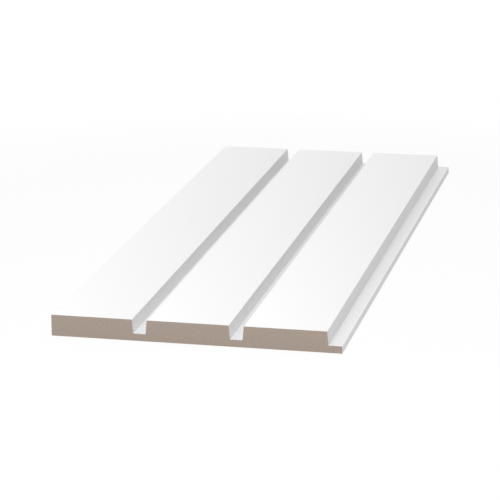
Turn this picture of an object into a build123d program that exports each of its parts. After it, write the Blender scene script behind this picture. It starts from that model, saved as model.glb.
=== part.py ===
"""A grooved wall panel: one length of fibreboard, sawn square at both ends.

Every slat has a tapered groove to its right. The last groove runs along the board's edge, where its
outer wall is cut away and its floor is left as a thin ledge. The next panel butts against the end of
that ledge, so the joint between two panels reads as one more groove. The back is flat, for gluing to
a wall.

The frame: X runs across the slats with the ledge at +X, Y runs along them, and Z points away from the
wall. The origin is in the middle of the back face. All sizes are in millimetres, and the slope is in
degrees.
"""

import os

from build123d import *

# The board
length = 570.0
thickness = 16.0

# The slats and the grooves beside them
slat_count = 3
slat_face = 61.0
groove_opening = 11.0
groove_depth = 10.5
wall_slope = 5.5

# The radius that eases every corner of the face, and the one that a cutter leaves along a floor
arris_radius = 0.5
root_radius = 0.4

# What follows from these sizes
pitch = slat_face + groove_opening
width = slat_count * pitch
grooves_middle = slat_face / 2
wall_angle = 90 + wall_slope

with BuildPart() as panel:
    # The section across the slats: its local Y is the board's thickness
    with BuildSketch(Plane.XZ) as section:
        Rectangle(width, thickness, align=(Align.CENTER, Align.MIN))

        # One groove to the right of every slat, widest at the face. That puts the middle of the row of
        # grooves half a slat's face to the right of the board's own middle.
        with Locations((grooves_middle, thickness)):
            with GridLocations(pitch, 0, slat_count, 1):
                Trapezoid(
                    groove_opening,
                    groove_depth,
                    wall_angle,
                    align=(Align.CENTER, Align.MAX),
                    mode=Mode.SUBTRACT,
                )

        # The last groove loses its outer half down to the floor, which leaves the ledge
        with Locations((width / 2, thickness)):
            Rectangle(
                groove_opening / 2,
                groove_depth,
                align=(Align.MAX, Align.MAX),
                mode=Mode.SUBTRACT,
            )

        # The foot of every groove's wall keeps the cutter's radius. The last corner at the height of
        # the floors is the ledge's own tip, which has none.
        floor_corners = section.vertices().group_by(Axis.Y)[1].sort_by(Axis.X)
        fillet(floor_corners[:-1], root_radius)

        # The ledge's tip and every corner of the slats are eased
        ledge_tip = section.vertices().group_by(Axis.X)[-1].sort_by(Axis.Y)[-1]
        fillet(ledge_tip, arris_radius)
        slat_corners = section.vertices().group_by(Axis.Y)[-1]
        fillet(slat_corners, arris_radius)
    extrude(amount=length / 2, both=True)

panel.part.label = "panel"

os.makedirs("parts", exist_ok=True)
export_step(panel.part, "parts/panel.step")
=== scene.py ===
# %% [markdown]
# # A grooved wall panel, modelled and finished by hand
#
# The real object is one length of fibreboard, sprayed white and then sawn square at both ends. Its
# section never changes along its length, so nearly all of the modelling is in drawing that section
# well. The rest of the lesson is about two finishes: a satin white coat that should look smooth but not
# dead, and bare pressed fibre where the saw and the sander have been.
#
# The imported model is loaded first. It fixes every size and place, and nothing here moves or resizes it.

# %% Load the fixed frame
import math

import bpy
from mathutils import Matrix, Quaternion, Vector


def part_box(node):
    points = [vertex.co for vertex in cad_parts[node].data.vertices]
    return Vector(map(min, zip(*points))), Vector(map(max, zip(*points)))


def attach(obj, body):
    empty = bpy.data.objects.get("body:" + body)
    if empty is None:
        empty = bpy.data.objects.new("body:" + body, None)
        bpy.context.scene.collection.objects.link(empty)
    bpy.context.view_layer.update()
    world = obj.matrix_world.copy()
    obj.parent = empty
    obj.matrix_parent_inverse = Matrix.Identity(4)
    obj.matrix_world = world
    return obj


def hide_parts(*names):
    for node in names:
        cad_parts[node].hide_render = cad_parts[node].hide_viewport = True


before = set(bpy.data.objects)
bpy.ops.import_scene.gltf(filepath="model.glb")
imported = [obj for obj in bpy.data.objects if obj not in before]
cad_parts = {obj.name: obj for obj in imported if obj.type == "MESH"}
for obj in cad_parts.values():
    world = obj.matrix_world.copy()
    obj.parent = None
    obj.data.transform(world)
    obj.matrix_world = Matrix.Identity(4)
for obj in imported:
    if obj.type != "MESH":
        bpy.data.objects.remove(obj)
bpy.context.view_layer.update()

# %% [markdown]
# ## The sizes that the shape is drawn from
#
# The board's outside comes from the frame. One slat and one groove repeat across it, so a groove's
# opening is what a slat leaves of each pitch. The walls of the grooves lean back by a few degrees, as a
# tapered cutter leaves them, and the run of a wall is how far it leans over the groove's depth.

# %% Sizes of the section, in metres
low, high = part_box("panel")
width, length, thickness = high - low

slat_count = 3
slat_face = 0.061
pitch = width / slat_count
groove_opening = pitch - slat_face
groove_depth = 0.0105
floor_height = thickness - groove_depth
wall_slope = math.radians(5.5)
wall_run = groove_depth * math.tan(wall_slope)

arris_radius = 0.0005
root_radius = 0.0004
coat_thickness = 0.00008

slat_starts = [low.x + i * pitch for i in range(slat_count)]
slat_ends = [start + slat_face for start in slat_starts]
print(f"pitch {pitch * 1000:.1f} mm, opening {groove_opening * 1000:.1f} mm")
print(f"run of a wall {wall_run * 1000:.2f} mm")

# %% [markdown]
# ## The camera
#
# The photograph was taken with a long lens, from in front of the panel and above it and a little to its
# right: the long edges run together only slowly. The place, the aim and the lens were worked out from
# the panel's own straight edges. The camera also leans by a fifth of a degree. That is too little to
# see, but it moves the far corners by most of a pixel.

# %% Camera at the photograph's angle
camera_place = Vector((0.3824, -1.8434, 0.5079))
camera_aim = Vector((-0.0102, -0.0521, 0.0080))
camera_lean = math.radians(-0.2)
camera_lens = 167.57

camera_data = bpy.data.cameras.new("photo_camera")
camera_data.lens = camera_lens
camera = bpy.data.objects.new("photo_camera", camera_data)
bpy.context.scene.collection.objects.link(camera)
camera.location = camera_place
view_line = camera_aim - camera_place
camera.rotation_mode = "QUATERNION"
camera.rotation_quaternion = view_line.to_track_quat("-Z", "Y") @ Quaternion((0, 0, 1), camera_lean)
bpy.context.scene.camera = camera
print(f"camera {view_line.length:.2f} m from its aim, with a lens of {camera_lens:.0f} mm")

# %% [markdown]
# ## Drawing the section
#
# A moulding like this could be a box with the grooves cut away by booleans, but a boolean leaves long
# thin faces that bevel badly. Drawing one end as a flat face and pulling it out to length gives clean
# strips, and it is how the section is thought of in the workshop.
#
# The end starts as a plane that stands on its edge. Straight cuts mark both sides of every groove and
# the height of their floors, and then the cells in the grooves are deleted.

# %% A helper that picks parts of the mesh by their place
near = 1e-6


def select_where(piece, kind, wanted):
    """In edit mode, select the vertices or polygons for which wanted(element) is true, and no others."""
    bpy.ops.mesh.select_mode(type="VERT" if kind == "vertices" else "FACE")
    bpy.ops.mesh.select_all(action="DESELECT")
    bpy.ops.object.mode_set(mode="OBJECT")
    found = 0
    for element in getattr(piece.data, kind):
        element.select = wanted(element)
        found += element.select
    bpy.ops.object.mode_set(mode="EDIT")
    return found


# %% One end of the board, with the grooves' cells cut away
upright = (math.pi / 2, 0, 0)
bpy.ops.object.select_all(action="DESELECT")
bpy.ops.mesh.primitive_plane_add(size=1, location=(0, low.y, thickness / 2), rotation=upright)
panel = bpy.context.active_object
panel.name = "grooved_board"
panel.scale = (width, thickness, 1)
bpy.ops.object.transform_apply(location=True, rotation=True, scale=True)

bpy.ops.object.mode_set(mode="EDIT")
for side in slat_starts[1:] + slat_ends:
    bpy.ops.mesh.select_all(action="SELECT")
    bpy.ops.mesh.bisect(plane_co=(side, 0, 0), plane_no=(1, 0, 0))
bpy.ops.mesh.select_all(action="SELECT")
bpy.ops.mesh.bisect(plane_co=(0, 0, floor_height), plane_no=(0, 0, 1))


def over_a_floor(face):
    """True for a cell that the cutter takes away: above the floors, and past the end of its slat."""
    along_pitch = (face.center.x - low.x) % pitch
    return face.center.z > floor_height and along_pitch > slat_face


removed = select_where(panel, "polygons", over_a_floor)
bpy.ops.mesh.delete(type="FACE")
print("cells cut away:", removed)

# %% [markdown]
# ## Leaning walls and eased corners
#
# With the cells gone, the rest is joined into one face whose outline is the section. The corners at the
# foot of each wall slide into their groove by the wall's run. Then the corners are rounded: half a
# millimetre on the arrises, which sanding eases before the spray coat, and a little less along the
# floors, where the cutter's own tip leaves it. Bevelling the corners of a flat outline is far easier
# than bevelling long edges later, and it gives the same strips once the face is pulled out.

# %% Join the cells into one face
bpy.ops.mesh.select_all(action="SELECT")
bpy.ops.mesh.dissolve_faces()


def on_a_straight(vertex):
    """True for a point that a cut left along the back or along the plain left edge."""
    along_back = abs(vertex.co.z) < near and abs(vertex.co.x) < high.x - near
    along_edge = abs(vertex.co.x - low.x) < near and abs(vertex.co.z - floor_height) < near
    return along_back or along_edge


spare = select_where(panel, "vertices", on_a_straight)
bpy.ops.mesh.dissolve_verts()
print("spare points dissolved:", spare)


# %% Slide the feet of the walls in
def at_floor(vertex):
    """True for a corner of a floor, but not for the ledge's tip, which has no wall."""
    return abs(vertex.co.z - floor_height) < near and vertex.co.x < high.x - near


def right_of_a_slat(vertex):
    """True for the foot of the wall that a slat ends in."""
    return at_floor(vertex) and any(abs(vertex.co.x - end) < near for end in slat_ends)


def left_of_a_slat(vertex):
    """True for the foot of the wall that a slat starts from."""
    return at_floor(vertex) and any(abs(vertex.co.x - start) < near for start in slat_starts)


for beside, shift in ((right_of_a_slat, wall_run), (left_of_a_slat, -wall_run)):
    moved = select_where(panel, "vertices", beside)
    bpy.ops.transform.translate(value=(shift, 0, 0))
    print("feet moved:", moved)

# %% Round the corners
corner_steps = 6


def is_arris(vertex):
    """True for an upper corner of a slat, and for the ledge's tip."""
    on_face = abs(vertex.co.z - thickness) < near
    ledge_tip = abs(vertex.co.x - high.x) < near and abs(vertex.co.z - floor_height) < near
    return on_face or ledge_tip


for corners, radius in ((at_floor, root_radius), (is_arris, arris_radius)):
    rounded = select_where(panel, "vertices", corners)
    bpy.ops.mesh.bevel(affect="VERTICES", offset=radius, segments=corner_steps)
    print(f"corners rounded to {radius * 1000:.1f} mm:", rounded)

# %% [markdown]
# ## Pulling the section out to length
#
# One extrusion makes every slat, wall and floor. On each sawn end a narrow inset then follows the whole
# outline. It is the cut edge of the coat, seen edge on as a hairline, and it keeps the white and the
# brown from meeting in one hard line. Along the back the coat was never sprayed, so the inset's strip
# there stays bare.

# %% Extrude along the board and inset both ends
bpy.ops.mesh.select_all(action="SELECT")
bpy.ops.mesh.extrude_region_move(TRANSFORM_OT_translate={"value": (0, length, 0)})
bpy.ops.mesh.select_all(action="SELECT")
bpy.ops.mesh.normals_make_consistent(inside=False)

# A face looks straight along an axis if the part of its normal along that axis is greater than this
straight = 0.9


def is_sawn_end(face):
    """True for a face that looks along the board."""
    return abs(face.normal.y) > straight


ends = select_where(panel, "polygons", is_sawn_end)
bpy.ops.mesh.inset(thickness=coat_thickness, use_even_offset=True)
bpy.ops.object.mode_set(mode="OBJECT")
print("sawn ends:", ends, "faces:", len(panel.data.polygons))

# %% [markdown]
# ## Smooth arrises, flat slats
#
# Smooth shading by itself would bend the light across a whole slat, because a slat shares its edge
# vertices with the rounded arris. Weighted normals let the large face win: slats, walls and floors stay
# flat, and only the narrow strips of each radius turn. Those strips meet at about fifteen degrees, and
# the sawn ends and the back stand square to the faces beside them. So the angle up to which the shading
# is smooth can lie anywhere between, and only the outlines of the ends and of the back stay sharp.

# %% Shade the piece
smooth_below = math.radians(40)

bpy.ops.object.select_all(action="DESELECT")
panel.select_set(True)
bpy.context.view_layer.objects.active = panel
bpy.ops.object.shade_smooth_by_angle(angle=smooth_below)
bpy.ops.object.modifier_add(type="WEIGHTED_NORMAL")
panel.modifiers[-1].keep_sharp = True
bpy.ops.object.modifier_apply(modifier=panel.modifiers[-1].name)
print("sharp edges:", sum(edge.use_edge_sharp for edge in panel.data.edges), "of", len(panel.data.edges))

# %% [markdown]
# ## Wiring helpers for materials
#
# Every finish below is a small tree of nodes, and a few helpers keep the wiring readable. One adds a
# node and fills in its inputs, and two short ones do so for sums and for mixed shaders. The last two
# make a node group with named sockets, and a material with an empty shader.

# %% Helpers that add nodes
def add_node(tree, kind, inputs=None, **settings):
    """Add a node, set its properties, then link or fill the inputs, named or numbered."""
    node = tree.nodes.new(kind)
    for name, value in settings.items():
        setattr(node, name, value)
    for name, value in (inputs or {}).items():
        if isinstance(value, bpy.types.NodeSocket):
            tree.links.new(value, node.inputs[name])
        else:
            node.inputs[name].default_value = value
    return node


def calculate(tree, operation, *terms):
    """The result of a Math node, whose terms are sockets or numbers."""
    return add_node(tree, "ShaderNodeMath", dict(enumerate(terms)), operation=operation).outputs[0]


def mix_shaders(tree, share, first, second):
    """The first shader where the share is 0, and the second where it is 1."""
    return add_node(tree, "ShaderNodeMixShader", {0: share, 1: first, 2: second}).outputs[0]


# %% Helpers that start a group or a material
def new_group(name, inputs, outputs):
    """A shader node group: inputs are (name, default), and outputs are names of plain values."""
    group = bpy.data.node_groups.new(name, "ShaderNodeTree")
    vector = group.interface.new_socket("Vector", in_out="INPUT", socket_type="NodeSocketVector")
    vector.hide_value = True
    for title, default in inputs:
        socket = group.interface.new_socket(title, in_out="INPUT", socket_type="NodeSocketFloat")
        socket.default_value = default
    for title in outputs:
        group.interface.new_socket(title, in_out="OUTPUT", socket_type="NodeSocketFloat")
    return group, group.nodes.new("NodeGroupInput"), group.nodes.new("NodeGroupOutput")


def new_material(name):
    """A material with an empty Principled shader wired to its output."""
    material = bpy.data.materials.new(name)
    material.use_nodes = True
    tree = material.node_tree
    tree.nodes.clear()
    output = tree.nodes.new("ShaderNodeOutputMaterial")
    shader = tree.nodes.new("ShaderNodeBsdfPrincipled")
    tree.links.new(shader.outputs["BSDF"], output.inputs["Surface"])
    return material, tree, shader


# %% [markdown]
# ## Pressed fibre
#
# Fibreboard is wood ground to fluff and pressed flat. Up close it has no grain, only fine pale and dark
# flecks, a little longer along the mat than through it, on a soft mottle of centimetre-wide clouds. The
# sawn ends and the sanded back are the same stuff with other values, so the flecks and the mottle are
# one node group. It gives a tone to mix two browns by, and a height for the bump.

# %% Node group: pressed fibre
fibre, given, result = new_group(
    "pressed_fibre",
    [("Fleck Scale", 1200.0), ("Fleck Share", 0.5), ("Cloud Scale", 60.0)],
    ["Tone", "Height"],
)
where = given.outputs["Vector"]
flecks = add_node(
    fibre,
    "ShaderNodeTexNoise",
    {"Vector": where, "Scale": given.outputs["Fleck Scale"], "Detail": 3.0, "Roughness": 0.6},
)
clouds = add_node(
    fibre, "ShaderNodeTexNoise", {"Vector": where, "Scale": given.outputs["Cloud Scale"], "Detail": 2.0}
)
tone = add_node(
    fibre,
    "ShaderNodeMix",
    {"Factor": given.outputs["Fleck Share"], "A": clouds.outputs[0], "B": flecks.outputs[0]},
)
fibre.links.new(tone.outputs["Result"], result.inputs["Tone"])
fibre.links.new(flecks.outputs[0], result.inputs["Height"])
print("group", fibre.name, "built")

# %% [markdown]
# ## The bare faces
#
# The Mapping node stretches the flecks along the mat, the way the fibres settle when it is pressed. A
# saw tears the ends a little, so their flecks stand out and the relief is deeper. The back has been
# through the sander: paler, with softer flecks that show more of the mottle.
#
# The tone of the fibre keeps to the middle of its range. So the darker brown stands at three tenths of
# it and the paler one at seven tenths, and everything between is a mix of the two.

# %% Bare fibreboard materials
tone_range = (0.3, 0.7)


def bare_board(name, browns, stretch, fleck_scale, fleck_share, relief):
    """Pressed fibre between two browns, with its flecks stretched and raised by relief metres."""
    material, tree, shader = new_material(name)
    place = add_node(tree, "ShaderNodeTexCoord")
    mapped = add_node(tree, "ShaderNodeMapping", {"Vector": place.outputs["Object"], "Scale": stretch})
    surface = add_node(
        tree,
        "ShaderNodeGroup",
        {"Vector": mapped.outputs["Vector"], "Fleck Scale": fleck_scale, "Fleck Share": fleck_share},
        node_tree=fibre,
    )
    ramp = add_node(tree, "ShaderNodeValToRGB", {"Fac": surface.outputs["Tone"]})
    for stop, position, brown in zip(ramp.color_ramp.elements, tone_range, browns):
        stop.position = position
        stop.color = (*brown, 1)
    bump = add_node(
        tree,
        "ShaderNodeBump",
        {"Height": surface.outputs["Height"], "Distance": relief, "Strength": 0.6},
    )
    tree.links.new(ramp.outputs["Color"], shader.inputs["Base Color"])
    tree.links.new(bump.outputs["Normal"], shader.inputs["Normal"])
    shader.inputs["Roughness"].default_value = 0.9
    shader.inputs["Specular IOR Level"].default_value = 0.25
    print("bare finish:", name)
    return material


sawn_fibre = bare_board(
    "sawn_fibreboard",
    browns=((0.355, 0.29, 0.245), (0.49, 0.405, 0.345)),
    stretch=(0.8, 1.0, 1.0),
    fleck_scale=1200.0,
    fleck_share=0.97,
    relief=0.0001,
)
sanded_fibre = bare_board(
    "sanded_fibreboard",
    browns=((0.50, 0.41, 0.33), (0.60, 0.50, 0.41)),
    stretch=(1.0, 0.6, 1.0),
    fleck_scale=1200.0,
    fleck_share=0.5,
    relief=0.00004,
)

# %% [markdown]
# ## The satin white coat
#
# The coat is sprayed, so close up it has the faint dimples of orange peel. Its colour also carries
# painted
# shade: across every slat it is painted a little darker from left to right, and the same painted shading
# starts again on the next slat. The drift repeats with the slats, so it is worked out from the Object X
# coordinate, as the share of a pitch that lies between a point and the left edge of its slat. Past the
# slat's end come a wall, the floor and the next wall. The ramp paints shade into the grooves, the walls
# darker than any slat and the floors darker still. It ends paler again at the ledge's own end, where it
# paints light on that outer edge.
#
# The count starts a hair's breadth inside the left edge. Otherwise the ledge's end would lie just where
# one pitch gives way to the next, and it would come out speckled with the tones of both.

# %% Position within a pitch
hair = 0.00001
coat, coat_tree, coat_shader = new_material("white_coat")
on_board = add_node(coat_tree, "ShaderNodeTexCoord").outputs["Object"]
across = add_node(coat_tree, "ShaderNodeSeparateXYZ", {"Vector": on_board}).outputs["X"]
from_edge = calculate(coat_tree, "SUBTRACT", across, low.x + hair)
into_pitch = calculate(coat_tree, "MODULO", from_edge, pitch)
pitch_share = add_node(coat_tree, "ShaderNodeMapRange", {"Value": into_pitch, "From Max": pitch})
print(f"the coat's pattern repeats every {pitch * 1000:.1f} mm")

# %% Painted shade of the coat across a pitch
slat_share = slat_face / pitch
foot_share = (slat_face + wall_run) / pitch
far_foot_share = 1 - wall_run / pitch
step = 0.002
# Grey levels of the coat across a pitch: painted shading across each slat, painted shade on the walls and
# floors of the grooves, and painted light at the ledge's end
coat_levels_with_painted_shade = (
    (0.0, 0.93),
    (slat_share, 0.87),
    (slat_share + step, 0.85),
    (foot_share - step, 0.85),
    (foot_share, 0.80),
    (far_foot_share, 0.80),
    (1.0, 0.90),
)
white = add_node(coat_tree, "ShaderNodeValToRGB", {"Fac": pitch_share.outputs["Result"]})
stops = white.color_ramp.elements
for share, _ in coat_levels_with_painted_shade[1:-1]:
    stops.new(share)
for stop, (_, level) in zip(stops, coat_levels_with_painted_shade):
    stop.color = (level, level, level, 1)
coat_tree.links.new(white.outputs["Color"], coat_shader.inputs["Base Color"])
print("stops of the coat's ramp:", [round(stop.position, 3) for stop in stops])

# %% Orange peel and sheen of the coat
peel_scale = 450.0
peel_relief = 0.00002
satin = 0.5

peel = add_node(
    coat_tree, "ShaderNodeTexNoise", {"Vector": on_board, "Scale": peel_scale, "Detail": 1.0}
)
dimples = add_node(
    coat_tree, "ShaderNodeBump", {"Height": peel.outputs[0], "Distance": peel_relief, "Strength": 0.3}
)
coat_tree.links.new(dimples.outputs["Normal"], coat_shader.inputs["Normal"])
coat_shader.inputs["Roughness"].default_value = satin
print(f"dimples about {1000 / peel_scale:.0f} mm apart")

# %% [markdown]
# ## Giving each face its finish
#
# The three finishes go into the piece's slots. A face is at a sawn end if it looks along the board, and
# it is the back if it looks straight down. At an end, the sawn face has the section's many corners, and
# the strip that the inset left round it is made of faces with four. The strip takes the coat, except
# where it lies along the back.

# %% Assign the finishes
finishes = (coat, sawn_fibre, sanded_fibre)
for material in finishes:
    panel.data.materials.append(material)
coated, sawn, sanded = range(len(finishes))
strip_corners = 4

for face in panel.data.polygons:
    if is_sawn_end(face):
        inside_strip = len(face.vertices) > strip_corners
        along_back = face.center.z < coat_thickness
        face.material_index = sawn if inside_strip or along_back else coated
    elif face.normal.z < -straight:
        face.material_index = sanded
    else:
        face.material_index = coated
counts = [sum(face.material_index == i for face in panel.data.polygons) for i in range(len(finishes))]
print("faces coated, sawn, sanded:", counts)

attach(panel, "root")
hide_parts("panel")

# %% [markdown]
# ## A pale floor that keeps the shadow
#
# The panel lies on a plain pale floor, which is lit like anything else and takes the panel's shadow. To
# the camera it has to look white, and more light on the panel would be the wrong way to get there. So
# for camera rays, and for the glossy rays that show the floor in the coat, most of its colour is a plain
# white glow. The share of the glow grows away from the panel, until the floor and the white world run
# together.
#
# The world needs the same choice of rays later, so it is a helper. It also takes the rays that come
# through glass, so that the background would look the same behind any material.

# %% A helper that finds the rays to which the background is white
def sees_background(tree, path):
    """A socket that is 1 for camera, glossy and transmission rays, and 0 for all others."""
    bent = calculate(tree, "MAXIMUM", path.outputs["Is Glossy Ray"], path.outputs["Is Transmission Ray"])
    return calculate(tree, "MAXIMUM", path.outputs["Is Camera Ray"], bent)


# %% Floor
floor_size = 12
floor_drop = 0.0001

bpy.ops.object.select_all(action="DESELECT")
bpy.ops.mesh.primitive_plane_add(size=floor_size, location=(0, 0, -floor_drop))
floor = bpy.context.active_object
floor.name = "floor"
print(f"floor {floor_size} m square, {floor_drop * 1000:.1f} mm under the panel")

# %% Paint and glow of the floor
near_glow = 0.84
fade_start = 0.3
fade_end = 0.9

floor_paint = bpy.data.materials.new("pale_floor")
floor_paint.use_nodes = True
floor_tree = floor_paint.node_tree
floor_tree.nodes.clear()
paint = add_node(floor_tree, "ShaderNodeBsdfDiffuse", {"Color": (0.7, 0.7, 0.7, 1)})
glow = add_node(floor_tree, "ShaderNodeEmission", {"Color": (1, 1, 1, 1), "Strength": 1.05})
on_floor = add_node(floor_tree, "ShaderNodeTexCoord").outputs["Object"]
away = add_node(floor_tree, "ShaderNodeVectorMath", {0: on_floor}, operation="LENGTH").outputs["Value"]
glow_share = add_node(
    floor_tree,
    "ShaderNodeMapRange",
    {"Value": away, "From Min": fade_start, "From Max": fade_end, "To Min": near_glow, "To Max": 1.0},
    interpolation_type="SMOOTHSTEP",
)
floor_path = add_node(floor_tree, "ShaderNodeLightPath")
floor_seen = sees_background(floor_tree, floor_path)
seen_glow = calculate(floor_tree, "MULTIPLY", glow_share.outputs["Result"], floor_seen)
lit = mix_shaders(floor_tree, seen_glow, paint.outputs[0], glow.outputs[0])
print(f"glow of the floor {near_glow:.0%} near the panel, 100% from {fade_end} m on")

# %% [markdown]
# ## A floor that can be looked through from below
#
# The back lies a tenth of a millimetre above the floor, so no light would ever reach it. To let the back
# be looked at, the floor is clear from below. It is also clear to a ray that meets it right after
# leaving a surface, as nearly every ray between the back and the floor does.

# %% Clear side of the floor
seat_gap = 0.0005
side = add_node(floor_tree, "ShaderNodeNewGeometry")
just_left = calculate(floor_tree, "LESS_THAN", floor_path.outputs["Ray Length"], seat_gap)
looked_through = calculate(floor_tree, "MAXIMUM", side.outputs["Backfacing"], just_left)
clear = add_node(floor_tree, "ShaderNodeBsdfTransparent")
shown = mix_shaders(floor_tree, looked_through, lit, clear.outputs[0])
add_node(floor_tree, "ShaderNodeOutputMaterial", {"Surface": shown})
floor.data.materials.append(floor_paint)
print(f"floor clear from below, and within {seat_gap * 1000:.1f} mm of where a ray starts")

# %% [markdown]
# ## Soft studio light
#
# A white panel in a white studio is lit from nearly everywhere, and that is why its grooves stay so
# pale. So most of the light is the world's. It is brightest overhead, like a white ceiling, so that the
# upright walls come out darker than the slats, and the ledge's open wall no paler than the others. A
# softbox in front and above makes the near end of the slats the brightest, and it lights the sawn end.
# A large one stands low and far behind the panel. Its light glances along the slats towards the camera,
# as the satin coat would show a bright window, and being far away it is as strong at one end of the
# panel as at the other. Glossy rays see the white backdrop too. All of it together is weak enough that
# a white of nine tenths renders as about nine tenths.
#
# The world is as bright straight below as overhead. The floor keeps that light from the face, and only
# the back gets it, because the floor is clear to rays that start so close to it.

# %% Lamps
def softbox(name, place, aim, size, power):
    """A square soft lamp at one place, turned to look at another, with its power in watts."""
    data = bpy.data.lights.new(name, "AREA")
    data.shape = "SQUARE"
    data.size = size
    data.energy = power
    lamp = bpy.data.objects.new(name, data)
    bpy.context.scene.collection.objects.link(lamp)
    lamp.location = place
    lamp.rotation_euler = (Vector(aim) - Vector(place)).to_track_quat("-Z", "Y").to_euler()
    print(name, power, "W")


softbox("front_softbox", place=(0.05, -1.1, 1.0), aim=(0, 0, 0), size=0.5, power=8.2)
softbox("back_softbox", place=(-0.8, 4.0, 1.4), aim=(0, 0, 0), size=2.4, power=14.0)

# %% World
horizon_light = 0.25
ceiling_light = 0.84

world = bpy.data.worlds.new("studio")
bpy.context.scene.world = world
world.use_nodes = True
world_tree = world.node_tree
world_tree.nodes.clear()
way = add_node(world_tree, "ShaderNodeTexCoord").outputs["Generated"]
height = add_node(world_tree, "ShaderNodeSeparateXYZ", {"Vector": way}).outputs["Z"]
steepness = calculate(world_tree, "ABSOLUTE", height)
brightness = add_node(
    world_tree,
    "ShaderNodeMapRange",
    {"Value": steepness, "To Min": horizon_light, "To Max": ceiling_light},
)
soft = add_node(
    world_tree, "ShaderNodeBackground", {"Color": (1, 1, 1, 1), "Strength": brightness.outputs["Result"]}
)
backdrop = add_node(world_tree, "ShaderNodeBackground", {"Color": (1, 1, 1, 1), "Strength": 1.0})
world_seen = sees_background(world_tree, add_node(world_tree, "ShaderNodeLightPath"))
sky = mix_shaders(world_tree, world_seen, soft.outputs[0], backdrop.outputs[0])
add_node(world_tree, "ShaderNodeOutputWorld", {"Surface": sky})
print(f"world {horizon_light} at the horizon, {ceiling_light} overhead, and white to the camera")

bpy.context.scene.view_settings.view_transform = "Standard"
